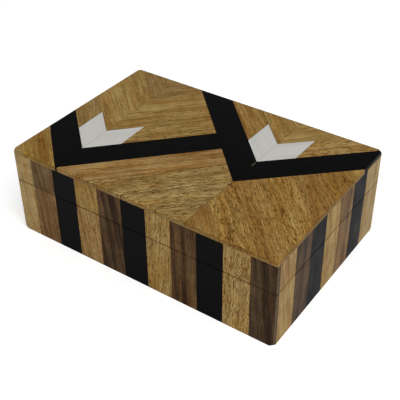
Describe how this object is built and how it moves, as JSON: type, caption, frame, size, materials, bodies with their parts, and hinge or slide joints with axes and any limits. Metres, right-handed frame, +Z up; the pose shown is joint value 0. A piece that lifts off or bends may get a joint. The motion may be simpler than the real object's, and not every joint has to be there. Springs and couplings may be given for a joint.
{
  "type": "inlaid wooden box",
  "caption": "Low rectangular wooden keepsake box with a hinged lid, striped slat sides and a herringbone chevron inlay top, for holding small things.",
  "frame": {"origin": "centre of the underside, on the surface that the box stands on", "axes": "+Z up, +X along the long side to the right seen from the front, -Y towards the front, hinges at +Y"},
  "size_m": [0.2286, 0.1563, 0.0762],
  "materials": {
    "light_wood": "satin lacquer",
    "dark_wood": "satin lacquer",
    "black_resin": "satin",
    "white_resin": "satin",
    "carcass_wood": "plain sanded and oiled",
    "brass": "brushed",
    "felt": "short felt"
  },
  "bodies": {
    "base": {"base_back_black_slats": "black_resin", "base_back_board": "carcass_wood", "base_back_dark_slats": "dark_wood", "base_back_light_slats": "light_wood", "base_front_black_slats": "black_resin", "base_front_board": "carcass_wood", "base_front_dark_slats": "dark_wood", "base_front_light_slats": "light_wood", "base_hinge_screws": "brass", "base_left_black_slats": "black_resin", "base_left_board": "carcass_wood", "base_left_dark_slats": "dark_wood", "base_left_light_slats": "light_wood", "base_right_black_slats": "black_resin", "base_right_board": "carcass_wood", "base_right_dark_slats": "dark_wood", "base_right_light_slats": "light_wood", "bottom_panel": "carcass_wood", "floor_lining": "felt", "left_hinge_base_leaf": "brass", "left_hinge_pin": "brass", "right_hinge_base_leaf": "brass", "right_hinge_pin": "brass", "underside_felt": "felt"},
    "lid": {"left_chevron_left_arm": "black_resin", "left_chevron_left_white": "white_resin", "left_chevron_right_arm": "black_resin", "left_chevron_right_white": "white_resin", "left_hinge_lid_leaf": "brass", "lid_back_black_slats": "black_resin", "lid_back_board": "carcass_wood", "lid_back_dark_slats": "dark_wood", "lid_back_light_slats": "light_wood", "lid_front_black_slats": "black_resin", "lid_front_board": "carcass_wood", "lid_front_dark_slats": "dark_wood", "lid_front_light_slats": "light_wood", "lid_hinge_screws": "brass", "lid_left_black_slats": "black_resin", "lid_left_board": "carcass_wood", "lid_left_dark_slats": "dark_wood", "lid_left_light_slats": "light_wood", "lid_panel": "carcass_wood", "lid_right_black_slats": "black_resin", "lid_right_board": "carcass_wood", "lid_right_dark_slats": "dark_wood", "lid_right_light_slats": "light_wood", "right_chevron_left_arm": "black_resin", "right_chevron_left_white": "white_resin", "right_chevron_right_arm": "black_resin", "right_chevron_right_white": "white_resin", "right_hinge_lid_leaf": "brass", "top_back_right_strips": "light_wood", "top_back_strips": "light_wood", "top_centre_strips": "light_wood", "top_front_strips": "light_wood", "top_left_strips": "light_wood", "top_right_strips": "light_wood"}
  },
  "joints": [
    {"name": "lid_hinge", "type": "hinge", "parent": "base", "child": "lid", "pos_m": [0, 0.07825, 0.0487], "axis": [-1, 0, 0], "range_deg": [0, 100]}
  ]
}
